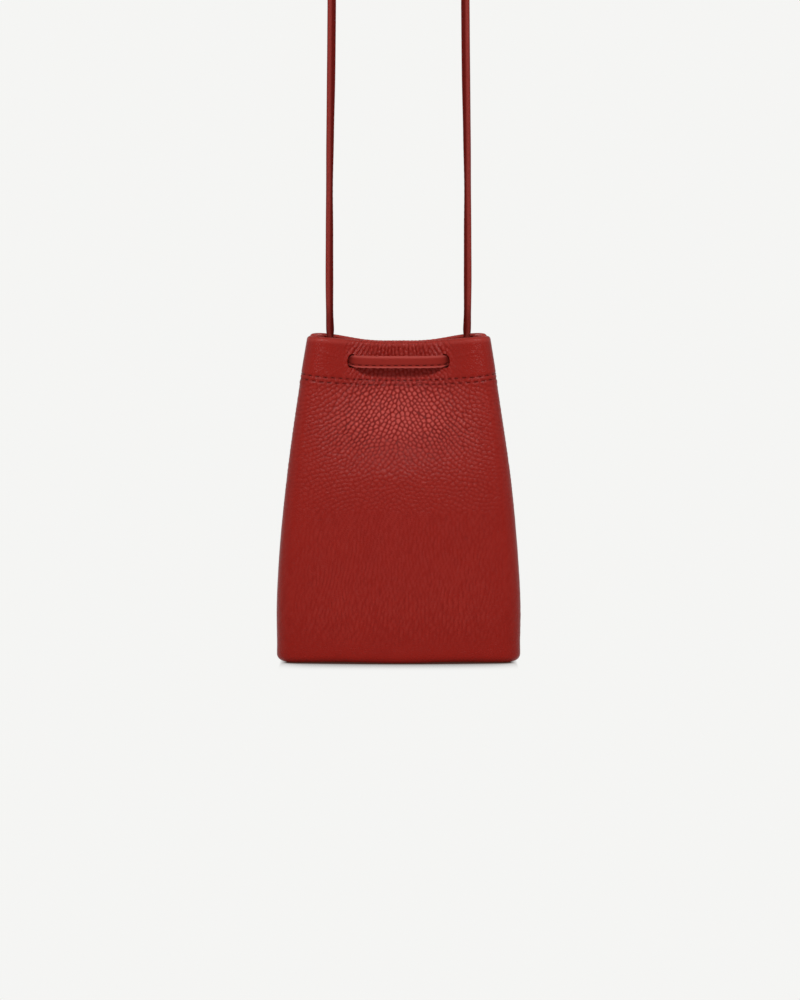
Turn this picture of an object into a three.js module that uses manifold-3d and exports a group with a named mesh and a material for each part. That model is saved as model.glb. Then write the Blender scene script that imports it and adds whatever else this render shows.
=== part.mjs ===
// Kinchaku drawstring pouch: a soft leather pouch on a flat base, with a turned hem at the mouth.
// Two strap loops, one through slits in the front and one through slits in the back, leave the
// mouth at its sides and draw its middle together in gathers.
// Millimetres, +Z up. The front faces -Y, and the origin is the middle of the base, on the ground.

import * as THREE from 'three';
import { LoftGeometry } from 'three/addons/geometries/LoftGeometry.js';
import { mergeVertices } from 'three/addons/utils/BufferGeometryUtils.js';
import Module from 'manifold-3d';

const wasm = await Module();
wasm.setup();

// Body
const HEIGHT = 180; // ground to the corners of the mouth
const BELLY_WIDTH = 136; // the widest place, low on the body
const BELLY_HEIGHT = 26;
const BASE_WIDTH = 135;
const MOUTH_WIDTH = 101;
const BASE_DEPTH = 54; // front to back, at the upright edges
const MOUTH_DEPTH = 29;
const TAPER_CURVE = 1.55; // 1 is a straight taper, and more keeps the width for longer
const BULGE = 4; // how far the middle of the front and the back swell
const BASE_CORNER_RADIUS = 9; // upright edges, in plan
const MOUTH_CORNER_RADIUS = 6;

// Drawn mouth
const PINCHED_DEPTH = 12; // front to back in the middle of the mouth
const PINCH_START = 100; // height where the walls begin to lean in
const PINCH_FULL = 18; // at the mouth, drawn in all the way up to this far from the middle
const PINCH_END = 44; // and not at all from here on
const PINCH_END_LOW = 62; // the same where the lean begins: the hollow spreads out as it goes down
const RIM_DROP = 3.6; // how much lower the rim is in its middle
const RIM_LOW = 8; // the rim is lowest up to this far from the middle
const SIDE_DENT = 6; // how far the side walls fold in at the mouth
const SIDE_DENT_START = 70;

// Leather
const LEATHER = 1.7;
const HEM_DEPTH = 26; // the turned part below the rim, two layers thick
const HEM_STEP = 0.8;
const RIM_ROUNDING = Math.PI / 3; // the rim is round up to this angle, with a flat on top
const EDGE_RADIUS = 3.6; // roll of the panels under the base
const UNDER_FLANGE = 2.4; // flat part of that roll, up to the base's seam
const SEAM_GAP = 0.3;

// Straps
const STRAP_WIDTH = 7;
const STRAP_THICKNESS = 3;
const STRAP_CHAMFER = 0.9;
const SLIT_OUT = 25.7; // from the middle of the pouch to each slit
const SLIT_BELOW_RIM = 14.2; // below the corners of the mouth
const SLIT_CLEARANCE = 0.5;
const STRAND_BEYOND_SLIT = 12.3;
const STRAND_GAP = 2.3; // between the front strap's strand and the back one's
const LOOP_START = 386; // height where a loop's strands begin to close over the pouch

// Gathers
const PLEATS = 16;
const PLEATS_BEYOND_SLIT = 3.5; // how far the pleated stretch passes the slits
const PLEAT_RISE = 1.3; // valley to ridge
const PLEAT_LOW = 112; // height where the pleats die out

// Fineness
const SIDE_STEPS = 3;
const CORNER_STEPS = 4;
const FLAT_STEPS = 4;
const INNER_STEPS = 14;
const ROLL_STEPS = 4;
const WALL_STEPS = 5;
const LEAN_STEPS = 7;
const HEM_STEPS = 4;
const RIM_STEPS = 2;
const STRAP_STEPS = 80;

const { lerp, smoothstep } = THREE.MathUtils;
const QUARTER = Math.PI / 2;

function steps(from, to, count) {
  return Array.from({ length: count }, (_, i) => lerp(from, to, i / count));
}

// Body sizes

function taper(low, high, z, start = 0) {
  const share = Math.max(0, (z - start) / (HEIGHT - start));
  return lerp(low, high, share ** TAPER_CURVE);
}

function halfWidth(z) {
  if (z > BELLY_HEIGHT) return taper(BELLY_WIDTH, MOUTH_WIDTH, z, BELLY_HEIGHT) / 2;
  return lerp(BELLY_WIDTH, BASE_WIDTH, (1 - z / BELLY_HEIGHT) ** 2) / 2;
}

// How far the mouth is drawn in, from 0 to 1
function pinch(x, z) {
  const share = Math.max(0, (z - PINCH_START) / (HEIGHT - PINCH_START));
  const across = 1 - smoothstep(Math.abs(x), PINCH_FULL * share, lerp(PINCH_END_LOW, PINCH_END, share));
  return across * smoothstep(share, 0, 1);
}

// A point of the front half of the wall, inset from its outer face. A station is a place round that
// half: across is -1 to 1 over the flat front, turn goes round an upright edge, and forward goes
// from a side seam to the edge.
function wallPoint({ across, turn, forward }, z, inset) {
  const width = halfWidth(z) - inset;
  const depth = taper(BASE_DEPTH, MOUTH_DEPTH, z) / 2 - inset;
  const radius = taper(BASE_CORNER_RADIUS, MOUTH_CORNER_RADIUS, z) - inset;
  const x = (width - radius) * across + radius * Math.sin(turn);
  const y = lerp(SEAM_GAP / 2, depth - radius + radius * Math.cos(turn), forward);
  const drawn = pinch(x, z);
  const swell = BULGE * (1 - (x / width) ** 2);
  const front = lerp(depth + swell, PINCHED_DEPTH / 2 - inset, drawn);
  const fold = Math.max(0, 1 - (y / (depth - radius)) ** 2);
  const dent = SIDE_DENT * smoothstep(z, SIDE_DENT_START, HEIGHT) * fold;
  const sag = RIM_DROP * (1 - smoothstep(Math.abs(x), RIM_LOW, width)) * smoothstep(z, PINCH_START, HEIGHT);
  return new THREE.Vector3(x - Math.sign(x) * dent, (-y * front) / depth, z - sag);
}

// Stations from the left side seam to the right one, round the given places on the flat front
function stationsRound(front) {
  const side = steps(0, 1, SIDE_STEPS).map((forward) => ({ across: -1, turn: -QUARTER, forward }));
  const edge = steps(-QUARTER, 0, CORNER_STEPS).map((turn) => ({ across: -1, turn, forward: 1 }));
  const left = [...side, ...edge];
  const right = left.map((place) => ({ ...place, across: 1, turn: -place.turn })).reverse();
  return [...left, ...front, ...right];
}

const flatStation = (across, ridge = 0) => ({ across, turn: 0, forward: 1, ridge });

// Places on the outer face: plain flats at both sides, and ridges and valleys in turn between them
function pleatedFront() {
  const reach = (SLIT_OUT + PLEATS_BEYOND_SLIT) / (MOUTH_WIDTH / 2 - MOUTH_CORNER_RADIUS);
  const flat = steps(-1, -reach, FLAT_STEPS).map((across) => flatStation(across));
  const folds = [];
  for (let i = 0; i <= 2 * PLEATS; i++) {
    const place = i / PLEATS - 1;
    const ridge = (i % 2 ? 1 : -1) * (1 - place ** 4);
    folds.push(flatStation(place * reach, ridge));
  }
  return [...flat, ...folds, ...flat.map(({ across }) => flatStation(-across)).reverse()];
}

// Heights and insets of the outer and the inner face, from the base's seam up to the rim
function wallRows() {
  const rows = [];
  const roll = (radius, start) => (angle) => (
    [start + radius * (1 - Math.sin(angle)), start + radius * (1 - Math.cos(angle))]);
  const flangeEnd = EDGE_RADIUS + UNDER_FLANGE;
  const outerRoll = steps(QUARTER, 0, ROLL_STEPS).map(roll(EDGE_RADIUS, 0));
  const innerRoll = steps(QUARTER, 0, ROLL_STEPS - 2).map(roll(EDGE_RADIUS - LEATHER, LEATHER));
  innerRoll.unshift([0, flangeEnd], [LEATHER, flangeEnd]);
  outerRoll.forEach((outer, i) => rows.push({ outer, inner: innerRoll[i] }));
  const hemLow = HEIGHT - HEM_DEPTH;
  const belly = steps(EDGE_RADIUS, PINCH_START, WALL_STEPS);
  const lean = steps(PINCH_START, hemLow, LEAN_STEPS);
  for (const z of [...belly, ...lean, hemLow]) rows.push({ outer: [z, 0], inner: [z, LEATHER] });
  const rimLow = HEIGHT - LEATHER;
  for (const z of steps(hemLow + HEM_STEP, rimLow, HEM_STEPS)) {
    rows.push({ outer: [z, 0], inner: [z, 2 * LEATHER] });
  }
  for (const angle of [...steps(0, RIM_ROUNDING, RIM_STEPS), RIM_ROUNDING]) {
    const z = rimLow + LEATHER * Math.sin(angle);
    const half = LEATHER * Math.cos(angle);
    rows.push({ outer: [z, LEATHER - half], inner: [z, LEATHER + half] });
  }
  return rows;
}

function panelGeometry() {
  const outer = stationsRound(pleatedFront());
  const inner = stationsRound([...steps(-1, 1, INNER_STEPS), 1].map((across) => flatStation(across)));
  inner.reverse();
  const sections = wallRows().map((row) => {
    const [z, inset] = row.outer;
    const rise = (PLEAT_RISE / 2) * smoothstep(z, PLEAT_LOW, HEIGHT - HEM_DEPTH);
    return [
      ...outer.map((place) => wallPoint(place, z, inset - rise * (place.ridge ?? 0))),
      ...inner.map((place) => wallPoint(place, ...row.inner)),
    ];
  });
  return new LoftGeometry(sections, { capStart: true, capEnd: true });
}

function baseGeometry() {
  const inset = EDGE_RADIUS + UNDER_FLANGE + SEAM_GAP;
  const front = stationsRound([...steps(-1, 1, INNER_STEPS), 1].map((across) => flatStation(across)));
  const half = front.map((place) => wallPoint(place, 0, inset));
  const outline = [...half.map(({ x, y }) => [x, y]), ...half.map(({ x, y }) => [-x, -y])];
  const shape = new THREE.Shape(outline.map(([x, y]) => new THREE.Vector2(x, y)));
  return new THREE.ExtrudeGeometry(shape, { depth: LEATHER, bevelEnabled: false });
}

// The left half of the front strap's route, from the middle of the front to the top of the loop,
// with the way that the strap's width faces at each point
function leftRoute() {
  const slitZ = HEIGHT - SLIT_BELOW_RIM;
  const across = SLIT_OUT / (halfWidth(slitZ) - taper(BASE_CORNER_RADIUS, MOUTH_CORNER_RADIUS, slitZ));
  const wall = wallPoint(flatStation(across), slitZ, 0).y;
  const strand = SLIT_OUT + STRAND_BEYOND_SLIT;
  const depth = -(STRAP_WIDTH + STRAND_GAP) / 2;
  return [
    { at: [0, wall - 4.6, slitZ], width: [0, -0.05, 1] },
    { at: [-12, wall - 4.2, slitZ], width: [0, -0.05, 1] },
    { at: [7 - SLIT_OUT, wall - 2.9, slitZ], width: [0, 0, 1] },
    { at: [2.5 - SLIT_OUT, wall - 0.8, slitZ + 0.1], width: [0, 0, 1] },
    { at: [-1.5 - SLIT_OUT, wall + 2.3, slitZ + 0.7], width: [0.3, -0.1, 1] },
    { at: [-5 - SLIT_OUT, wall + 5.6, slitZ + 3], width: [0.5, -0.5, 0.8] },
    { at: [1.8 - strand, depth - 1, slitZ + 6.8], width: [0.3, -0.9, 0.4] },
    { at: [0.4 - strand, depth - 0.2, slitZ + 11.6], width: [-0.1, -1, 0.1] },
    { at: [-strand, depth, slitZ + 17.6], width: [-0.35, -1, 0] },
    { at: [-0.2 - strand, depth, slitZ + 27], width: [-0.26, -1, 0] },
    { at: [-0.3 - strand, depth, slitZ + 45], width: [-0.34, -1, 0] },
    { at: [-0.2 - strand, depth, slitZ + 70], width: [-0.3, -1, 0] },
    { at: [-0.1 - strand, depth, slitZ + 95], width: [-0.2, -1, 0] },
    { at: [0.3 - strand, depth, slitZ + 125], width: [-0.32, -1, 0] },
    { at: [0.9 - strand, depth, slitZ + 160], width: [-0.44, -1, 0] },
    { at: [1.3 - strand, depth, slitZ + 195], width: [-0.45, -1, 0] },
    { at: [1.6 - strand, depth, LOOP_START], width: [-0.25, -1, 0] },
    { at: [0.87 * (1.6 - strand), depth, LOOP_START + 0.5 * strand], width: [0, -1, 0] },
    { at: [0.5 * (1.6 - strand), depth, LOOP_START + 0.87 * strand], width: [0, -1, 0] },
    { at: [0, depth, LOOP_START + strand], width: [0, -1, 0] },
  ];
}

// One closed strap, its section grown by clearance on every side
function strapGeometry(clearance) {
  const left = leftRoute();
  const right = left.slice(1, -1).reverse().map(({ at: [x, y, z], width: [a, b, c] }) => (
    { at: [-x, y, z], width: [-a, b, c] }));
  const route = [...left, ...right];
  const line = new THREE.CatmullRomCurve3(route.map(({ at }) => new THREE.Vector3(...at)), true);
  const facing = new THREE.CatmullRomCurve3(route.map(({ width }) => new THREE.Vector3(...width)), true);
  const w = STRAP_WIDTH / 2 + clearance;
  const t = STRAP_THICKNESS / 2 + clearance;
  const c = STRAP_CHAMFER;
  const half = [[w, c - t], [w, t - c], [w - c, t], [c - w, t]];
  const corners = [...half, ...half.map(([i, j]) => [-i, -j])];
  const sections = steps(0, 1, STRAP_STEPS).map((share) => {
    const centre = line.getPoint(share);
    const along = line.getTangent(share);
    const widthways = facing.getPoint(share).projectOnPlane(along).normalize();
    const through = new THREE.Vector3().crossVectors(along, widthways);
    return corners.map(([i, j]) => centre.clone().addScaledVector(widthways, i).addScaledVector(through, j));
  });
  return new LoftGeometry([...sections, sections[0]]);
}

// Solids

function toSolid(geometry) {
  const bare = new THREE.BufferGeometry().copy(geometry);
  bare.deleteAttribute('normal');
  bare.deleteAttribute('uv');
  const merged = mergeVertices(bare);
  const vertProperties = new Float32Array(merged.attributes.position.array);
  const triVerts = new Uint32Array(merged.index.array);
  return new wasm.Manifold(new wasm.Mesh({ numProp: 3, vertProperties, triVerts }));
}

function toGeometry(solid) {
  const { vertProperties, triVerts } = solid.getMesh();
  const geometry = new THREE.BufferGeometry();
  geometry.setAttribute('position', new THREE.BufferAttribute(vertProperties, 3));
  geometry.setIndex(new THREE.BufferAttribute(triVerts, 1));
  geometry.computeVertexNormals();
  return geometry;
}

const pouch = new THREE.Group();

function addPiece(name, geometry, color, turn = 0) {
  const material = new THREE.MeshStandardMaterial({ color, roughness: 0.55, metalness: 0 });
  const mesh = new THREE.Mesh(geometry, material);
  mesh.name = name;
  mesh.rotation.z = turn;
  pouch.add(mesh);
}

const BODY_RED = 0x8c2620;
const STRAP_RED = 0x84241f;

const panel = toGeometry(toSolid(panelGeometry()).subtract(toSolid(strapGeometry(SLIT_CLEARANCE))));
const strap = toGeometry(toSolid(strapGeometry(0)));
addPiece('front_panel', panel, BODY_RED);
addPiece('back_panel', panel, BODY_RED, Math.PI);
addPiece('base_panel', baseGeometry(), BODY_RED);
addPiece('front_strap', strap, STRAP_RED);
addPiece('back_strap', strap, STRAP_RED, Math.PI);

export default pouch;
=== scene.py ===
"""Looks of the kinchaku drawstring pouch: pebbled leather panels, folded straps, stitches and a studio.

Shapes are worked out in millimetres, in the same frame as the part, and written in metres.
"""

import logging
import math
from collections.abc import Sequence
from dataclasses import dataclass, replace
from enum import Enum

import bmesh
import bpy
import numpy as np
from mathutils import Matrix, Vector


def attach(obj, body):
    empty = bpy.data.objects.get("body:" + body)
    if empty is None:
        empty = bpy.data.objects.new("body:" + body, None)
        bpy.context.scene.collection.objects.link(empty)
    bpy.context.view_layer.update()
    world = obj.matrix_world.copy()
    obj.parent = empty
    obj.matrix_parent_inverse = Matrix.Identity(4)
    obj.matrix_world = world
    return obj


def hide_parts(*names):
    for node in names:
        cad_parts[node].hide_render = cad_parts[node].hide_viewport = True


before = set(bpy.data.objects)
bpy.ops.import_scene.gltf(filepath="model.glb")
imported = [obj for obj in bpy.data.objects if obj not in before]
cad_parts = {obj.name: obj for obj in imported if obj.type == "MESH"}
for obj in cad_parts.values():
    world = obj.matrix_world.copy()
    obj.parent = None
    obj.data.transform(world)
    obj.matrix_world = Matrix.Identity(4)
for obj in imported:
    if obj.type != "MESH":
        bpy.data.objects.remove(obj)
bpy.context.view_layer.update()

LOG = logging.getLogger("pouch")
MM = 0.001
BODY = "root"

Array = np.ndarray
Number = np.ndarray | float
Band = tuple[float, float]
Colour = Point = tuple[float, float, float]
BMesh = bmesh.types.BMesh
Material = bpy.types.Material
Piece = bpy.types.Object
Socket = bpy.types.NodeSocket


class Side(Enum):
    """The two halves of the pouch, with the angle about Z that places each."""

    FRONT = 0.0
    BACK = math.pi

    @property
    def turn(self) -> Matrix:
        """The turn that takes a piece of the front to this half."""
        return Matrix.Rotation(self.value, 3, "Z")


# Small maths


def ramp(value: Number, band: tuple[Number, Number]) -> Array:
    """Smooth 0 to 1 ramp of a value over a band."""
    low, high = (np.asarray(end, float) for end in band)
    share = np.clip((np.asarray(value, float) - low) / (high - low), 0, 1)
    return share * share * (3 - 2 * share)


def blend(low: Number, high: Number, share: Number) -> Array:
    """Straight mix of two values."""
    return low + (high - low) * np.asarray(share, float)


def run_of(points: Array) -> Array:
    """Distance along a line of points, at each of them."""
    return np.concatenate([[0], np.cumsum(np.linalg.norm(np.diff(points, axis=0), axis=1))])


def read_line(places: Number, run: Array, values: Array) -> Array:
    """Values, by axis, at given distances along a line."""
    return np.stack([np.interp(places, run, values[:, axis]) for axis in range(3)], -1)


def scatter(ix: Array, iy: Array, seed: int) -> Array:
    """Repeatable random numbers.

    Args:
        ix: whole-number columns.
        iy: whole-number rows.
        seed: picks the pattern.

    Returns:
        A number from 0 to 1 for each cell.
    """
    mask, by_column, by_row, by_seed, shuffle = 0xFFFFFFFF, 374761393, 668265263, 974711, 1274126177
    mixed = (ix.astype(np.int64) * by_column + iy.astype(np.int64) * by_row + seed * by_seed) & mask
    mixed = ((mixed ^ (mixed >> 13)) * shuffle) & mask
    return ((mixed ^ (mixed >> 16)) & mask) / mask


def soft_noise(x: Array, y: Array, seed: int) -> Array:
    """Smooth noise with features about one unit across.

    Args:
        x: places across.
        y: places up.
        seed: picks the pattern.

    Returns:
        Values from -1 to 1.
    """
    x, y = np.broadcast_arrays(np.asarray(x, float), np.asarray(y, float))
    ix, iy = np.floor(x), np.floor(y)
    fx, fy = ramp(x - ix, (0, 1)), ramp(y - iy, (0, 1))
    low = blend(scatter(ix, iy, seed), scatter(ix + 1, iy, seed), fx)
    high = blend(scatter(ix, iy + 1, seed), scatter(ix + 1, iy + 1, seed), fx)
    return 2 * blend(low, high, fy) - 1


def grow_lines(lean: Array, pitch: float, length: float, seed: int) -> Array:
    """Grows wavy lines on a grid, with branches where they spread.

    Args:
        lean: angle from upright of the lines, by row and column of the grid.
        pitch: distance between lines, in grid steps.
        length: how far a line keeps its course, in grid steps.
        seed: picks the pattern.

    Returns:
        Heights from 0 in the sharp creases between the lines to 1 on their round tops.
    """
    ways, rounds, reach, spread, full = 16, 8, 0.6, 1.5, 4.2
    rows, columns = np.indices(lean.shape)
    field = 2 * scatter(columns, rows, seed) - 1
    up, out = (np.fft.fftfreq(count, 1 / count) for count in lean.shape)
    filters = []
    for angle in np.arange(ways) * np.pi / ways:
        across = out[None] * np.cos(angle) + up[:, None] * np.sin(angle)
        along = up[:, None] * np.cos(angle) - out[None] * np.sin(angle)
        near = np.exp(-((across / (reach * pitch)) ** 2) - (along / length) ** 2)
        ripple = np.cos(2 * np.pi * across / pitch)
        filters.append(np.fft.rfft2(near * (ripple - (near * ripple).sum() / near.sum())))
    turn = lean / np.pi * ways
    first = np.floor(turn).astype(int)
    for _ in range(rounds):
        seen = np.fft.rfft2(np.tanh(field))
        answers = np.stack([np.fft.irfft2(seen * one, lean.shape) for one in filters])
        low, high = (np.take_along_axis(answers, (first + k)[None] % ways, 0)[0] for k in (0, 1))
        field = blend(low, high, turn - first)
        field *= spread / field.std()
    share = np.clip(0.5 + field / full, 0, 1)
    return np.sqrt(1 - (1 - share) ** 2)


def place_beads(line: Array, gap: float, seed: int) -> list[tuple[int, int]]:
    """Sets beads one after another down the tops of grown lines.

    Args:
        line: heights of the lines, by row and column of a grid.
        gap: least distance between two beads, in grid steps.
        seed: picks the pattern.

    Returns:
        Row and column of each bead.
    """
    top, stray = 0.93, 3
    rows, columns = np.nonzero(line > top)
    order = np.argsort(stray * scatter(columns, rows, seed) - rows, kind="stable")
    taken, beads = {}, []
    for bead in zip(rows[order].tolist(), columns[order].tolist()):
        i, j = (int(place // gap) for place in bead)
        near = [taken[i + k, j + n] for k in (-1, 0, 1) for n in (-1, 0, 1) if (i + k, j + n) in taken]
        if all(math.dist(bead, other) >= gap for other in near):
            taken[i, j] = bead
            beads.append(bead)
    return beads


def bead_heights(lean: Array, beads: list[tuple[int, int]], size: float, stretch: Array) -> Array:
    """Heights of the rounded beads that fill a grid.

    Args:
        lean: angle from upright that the beads are drawn out along, by row and column of the grid.
        beads: row and column of the middle of each.
        size: width of a bead, in grid steps.
        stretch: how much longer than wide the beads are, as a root, by row and column.

    Returns:
        Heights from 0 in the creases between the beads to 1 on top of them.
    """
    farthest, search, rounding, cross_crease = 99.0, 1.8, 0.9, 0.8
    rows, columns = np.indices(lean.shape)
    side, rise = np.sin(lean), np.cos(lean)
    nearest = np.full((3, *lean.shape), farthest)
    second = nearest.copy()
    reach = math.ceil(search * size)
    for row, column in beads:
        part = tuple(slice(max(place - reach, 0), place + reach + 1) for place in (row, column))
        up, out = rows[part] - row, columns[part] - column
        across = (out * rise[part] + up * side[part]) * stretch[part]
        along = (up * rise[part] - out * side[part]) / stretch[part]
        found = np.stack([np.hypot(across, along), across, along])
        near, far = nearest[:, *part], second[:, *part]
        closer = found[0] < near[0]
        second[:, *part] = np.where(closer, near, np.where(found[0] < far[0], found, far))
        nearest[:, *part] = np.where(closer, found, near)
    apart = nearest - second
    sideways = np.abs(apart[1]) / (np.hypot(apart[1], apart[2]) + 1e-9)
    edge = np.clip(-apart[0] / (rounding * size), 0, 1)
    return 1 - (1 - np.sin(edge * math.pi / 2)) * blend(cross_crease / stretch**3, 1, sideways)


# The pouch's form


@dataclass(frozen=True)
class PouchForm:
    """Outer form of the front half of the pouch, in millimetres. The back half is its twin."""

    height: float = 180.0
    belly_width: float = 136.0
    belly_height: float = 26.0
    base_width: float = 135.0
    mouth_width: float = 101.0
    base_depth: float = 54.0
    mouth_depth: float = 29.0
    taper_curve: float = 1.55
    bulge: float = 4.0
    base_corner: float = 9.0
    mouth_corner: float = 6.0
    pinched_depth: float = 12.0
    pinch_start: float = 100.0
    pinch_full: float = 18.0
    pinch_end: float = 44.0
    pinch_end_low: float = 62.0
    rim_drop: float = 3.6
    rim_low: float = 8.0
    side_dent: float = 6.0
    dent_start: float = 70.0
    base_gap: float = 0.3
    leather: float = 1.7
    hem_depth: float = 26.0
    edge_radius: float = 3.6
    under_flange: float = 2.4
    edge_lift: float = 0.5

    @property
    def hem_end(self) -> float:
        """Height at which the turned hem ends."""
        return self.height - self.hem_depth

    def taper(self, low: float, high: float, z: Array, start: float = 0.0) -> Array:
        """A size that goes from low at start to high at the mouth."""
        share = np.clip((z - start) / (self.height - start), 0, None)
        return blend(low, high, share**self.taper_curve)

    def half_width(self, z: Array) -> Array:
        """Half the width of the body at a height."""
        above = self.taper(self.belly_width, self.mouth_width, z, self.belly_height)
        below = blend(self.belly_width, self.base_width, np.clip(1 - z / self.belly_height, 0, 1) ** 2)
        return np.where(z > self.belly_height, above, below) / 2

    def pinch(self, x: Array, z: Array) -> Array:
        """How far the mouth is drawn in, from 0 to 1."""
        share = np.clip((z - self.pinch_start) / (self.height - self.pinch_start), 0, 1)
        end = blend(self.pinch_end_low, self.pinch_end, share)
        return (1 - ramp(np.abs(x), (self.pinch_full * share, end))) * ramp(share, (0, 1))

    def sag(self, x: Array, z: Array, inset: Number = 0.0) -> Array:
        """How much lower than at the corners the leather is drawn."""
        across = 1 - ramp(np.abs(x), (self.rim_low, self.half_width(z) - inset))
        return self.rim_drop * across * ramp(z, (self.pinch_start, self.height))

    def wall(self, across: Array, turn: Array, forward: Array, z: Array, inset: Number) -> Array:
        """Points of the front half of the wall.

        Args:
            across: -1 to 1 over the flat front.
            turn: angle round an upright edge, 0 on the front.
            forward: 0 at a side seam to 1 at the upright edge.
            z: heights on the form, before the middle of the rim is drawn down.
            inset: distance in from the outer face.

        Returns:
            Points, with x, y and z on the last axis.
        """
        width = self.half_width(z) - inset
        depth = self.taper(self.base_depth, self.mouth_depth, z) / 2 - inset
        radius = self.taper(self.base_corner, self.mouth_corner, z) - inset
        x = (width - radius) * across + radius * np.sin(turn)
        y = forward * (depth - radius + radius * np.cos(turn))
        drawn = self.pinch(x, z)
        swell = self.bulge * (1 - (x / width) ** 2)
        front = blend(depth + swell, self.pinched_depth / 2 - inset, drawn)
        fold = np.clip(1 - (y / (depth - radius)) ** 2, 0, None)
        dent = self.side_dent * ramp(z, (self.dent_start, self.height)) * fold
        lift = self.edge_lift * np.sin(np.pi * x / width) ** 2 * (1 - ramp(z, (0, self.belly_height)))
        height = z - self.sag(x, z, inset) + lift
        return np.stack([x - np.sign(x) * dent, -y * front / depth, height], -1)


@dataclass(frozen=True)
class SlitPlace:
    """Where the strap passes a leather layer, seen from the front, in millimetres."""

    out: float
    z: float
    half_width: float = 2.45
    half_height: float = 3.85

    def reach(self, x: Array, z: Array) -> Array:
        """Distance from the slit's middle, 1 on its outline."""
        return np.hypot((np.abs(x) - self.out) / self.half_width, (z - self.z) / self.half_height)


OUTER_SLIT = SlitPlace(out=25.75, z=166.0)
INNER_SLIT = SlitPlace(out=27.75, z=166.75)

FROM_START: Band = (-999, -998)
TO_END: Band = (998, 999)


@dataclass(frozen=True)
class Patch:
    """A soft-edged patch of a panel's face, in millimetres: each band is where one edge begins and ends."""

    amount: float = 1.0
    near: Band = FROM_START
    far: Band = TO_END
    bottom: Band = FROM_START
    top: Band = TO_END

    def at(self, x: Array, z: Number = 0.0) -> Array:
        """How strong the patch is.

        Args:
            x: places across the front.
            z: heights on the form.

        Returns:
            The amount at each place.
        """
        out = np.abs(x)
        across = ramp(out, self.near) * (1 - ramp(out, self.far))
        return self.amount * across * ramp(z, self.bottom) * (1 - ramp(z, self.top))


# How steep the creases are, and where they turn
FAN_MIDDLE = Patch(0.36, near=(0, 2.5))
FAN_SIDES = Patch(0.7, near=(24, 40))
FAN_ENDS = Patch(near=(38, 50))
FAN_HEIGHTS = Patch(bottom=(60, 110))
PLEAT_HEIGHTS = Patch(bottom=(155, 160))
FLAT_CREASES = Patch(bottom=(76, 90), top=(104, 118))
STEADY_HEIGHTS = Patch(bottom=(100, 120))

# Where the pleats and the closer stitches are
PLEATS = Patch(far=(24, 31), bottom=(162, 168))
PLEAT_ENDS = Patch(0.25, far=(20, 31), bottom=(136, 156), top=(162, 168))
CLOSE_STITCHES = Patch(far=(24, 36))
ROW_RISE = Patch(1.1, near=(40, 56))

# Where the beads are drawn out, stand lower or higher, and where the painted shade in their creases is
# stronger or weaker
PLEATED_BEADS = Patch(0.25, bottom=(157, 163))
LOW_BEADS = Patch(0.35, bottom=(16, 40), top=(52, 88))
WING_BEADS = Patch(0.08, near=(16, 34), bottom=(100, 116))
BESIDE_FAN = Patch(0.62, near=(20, 46), bottom=(96, 124))
WINGS = Patch(0.35, near=(8, 22), far=(36, 48), bottom=(112, 124), top=(132, 146))
BESIDE_SLITS = Patch(0.88, near=(25, 32))
SLIT_HEIGHTS = Patch(bottom=(155, 161))
UPRIGHT_EDGES = Patch(0.5, near=(44, 58))
FULL_CREASE_SHADE = Patch(bottom=(70, 126))
LESS_SHADE_ON_HEM = Patch(0.7, bottom=(159, 162))
WAVY_HEIGHTS = Patch(bottom=(6, 40))


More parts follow.
